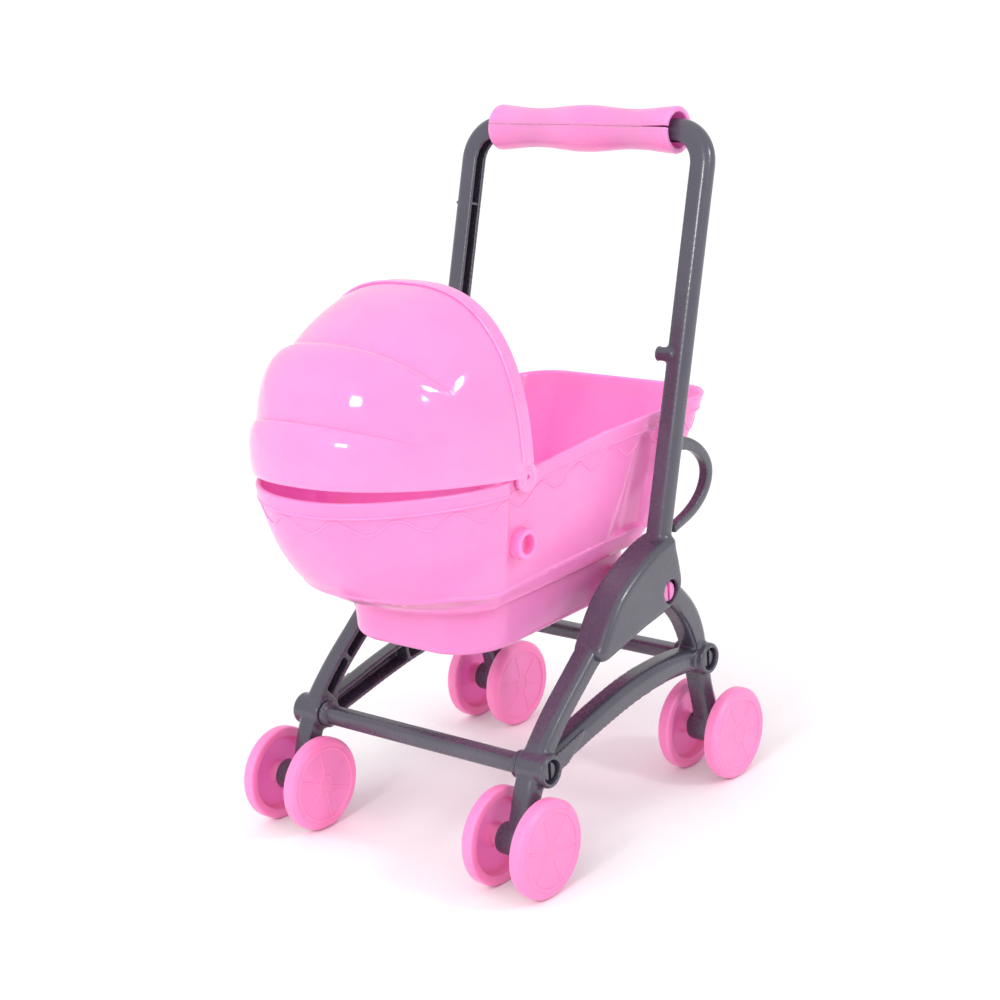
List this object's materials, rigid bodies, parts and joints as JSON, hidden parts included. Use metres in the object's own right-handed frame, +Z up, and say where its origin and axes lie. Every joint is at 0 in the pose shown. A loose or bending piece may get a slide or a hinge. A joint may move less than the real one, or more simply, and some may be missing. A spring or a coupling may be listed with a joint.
{
  "type": "doll stroller",
  "caption": "Toy doll pram: rounded bassinet tub with a pleated hinged hood on a push frame with legs, struts, finger loops, twin-wheel sets and a gripped U-shaped handle.",
  "frame": {"origin": "on the floor, under the middle of the stroller's length and width", "axes": "+X is the stroller's left, -Y its front, where the hood is, and +Z up"},
  "size_m": [0.127, 0.1785, 0.2403],
  "materials": {
    "pink_plastic": "glossy moulded pink plastic, slightly translucent",
    "pink_hood": "high-gloss moulded pink plastic",
    "pink_tray": "glossy moulded pink plastic",
    "pink_wheel": "satin moulded pink plastic",
    "grey_plastic": "semi-gloss cool grey moulded plastic",
    "steel": "plain drawn steel rod"
  },
  "bodies": {
    "frame": {"side_frame_left": "grey_plastic", "side_frame_right": "grey_plastic", "crossbar_front": "grey_plastic", "crossbar_rear": "grey_plastic", "handle": "grey_plastic", "grip_upper": "pink_plastic", "grip_lower": "pink_plastic", "base_tray": "pink_tray", "tub": "pink_plastic"},
    "hood": {"hood": "pink_hood"},
    "wheels_front_left": {"axle_front_left": "steel", "wheel_front_left_outer": "pink_wheel", "wheel_front_left_inner": "pink_wheel"},
    "wheels_front_right": {"axle_front_right": "steel", "wheel_front_right_outer": "pink_wheel", "wheel_front_right_inner": "pink_wheel"},
    "wheels_rear_left": {"axle_rear_left": "steel", "wheel_rear_left_outer": "pink_wheel", "wheel_rear_left_inner": "pink_wheel"},
    "wheels_rear_right": {"axle_rear_right": "steel", "wheel_rear_right_outer": "pink_wheel", "wheel_rear_right_inner": "pink_wheel"}
  },
  "joints": [
    {"name": "hood_hinge", "type": "hinge", "parent": "frame", "child": "hood", "pos_m": [0, -0.0268, 0.134], "axis": [-1, 0, 0], "range_deg": [0, 70]},
    {"name": "wheels_front_left_spin", "type": "hinge", "parent": "frame", "child": "wheels_front_left", "pos_m": [0.0505, -0.0489, 0.0167], "axis": [1, 0, 0], "continuous": true},
    {"name": "wheels_front_right_spin", "type": "hinge", "parent": "frame", "child": "wheels_front_right", "pos_m": [-0.0505, -0.0489, 0.0167], "axis": [1, 0, 0], "continuous": true},
    {"name": "wheels_rear_left_spin", "type": "hinge", "parent": "frame", "child": "wheels_rear_left", "pos_m": [0.0505, 0.0625, 0.0167], "axis": [1, 0, 0], "continuous": true},
    {"name": "wheels_rear_right_spin", "type": "hinge", "parent": "frame", "child": "wheels_rear_right", "pos_m": [-0.0505, 0.0625, 0.0167], "axis": [1, 0, 0], "continuous": true}
  ]
}
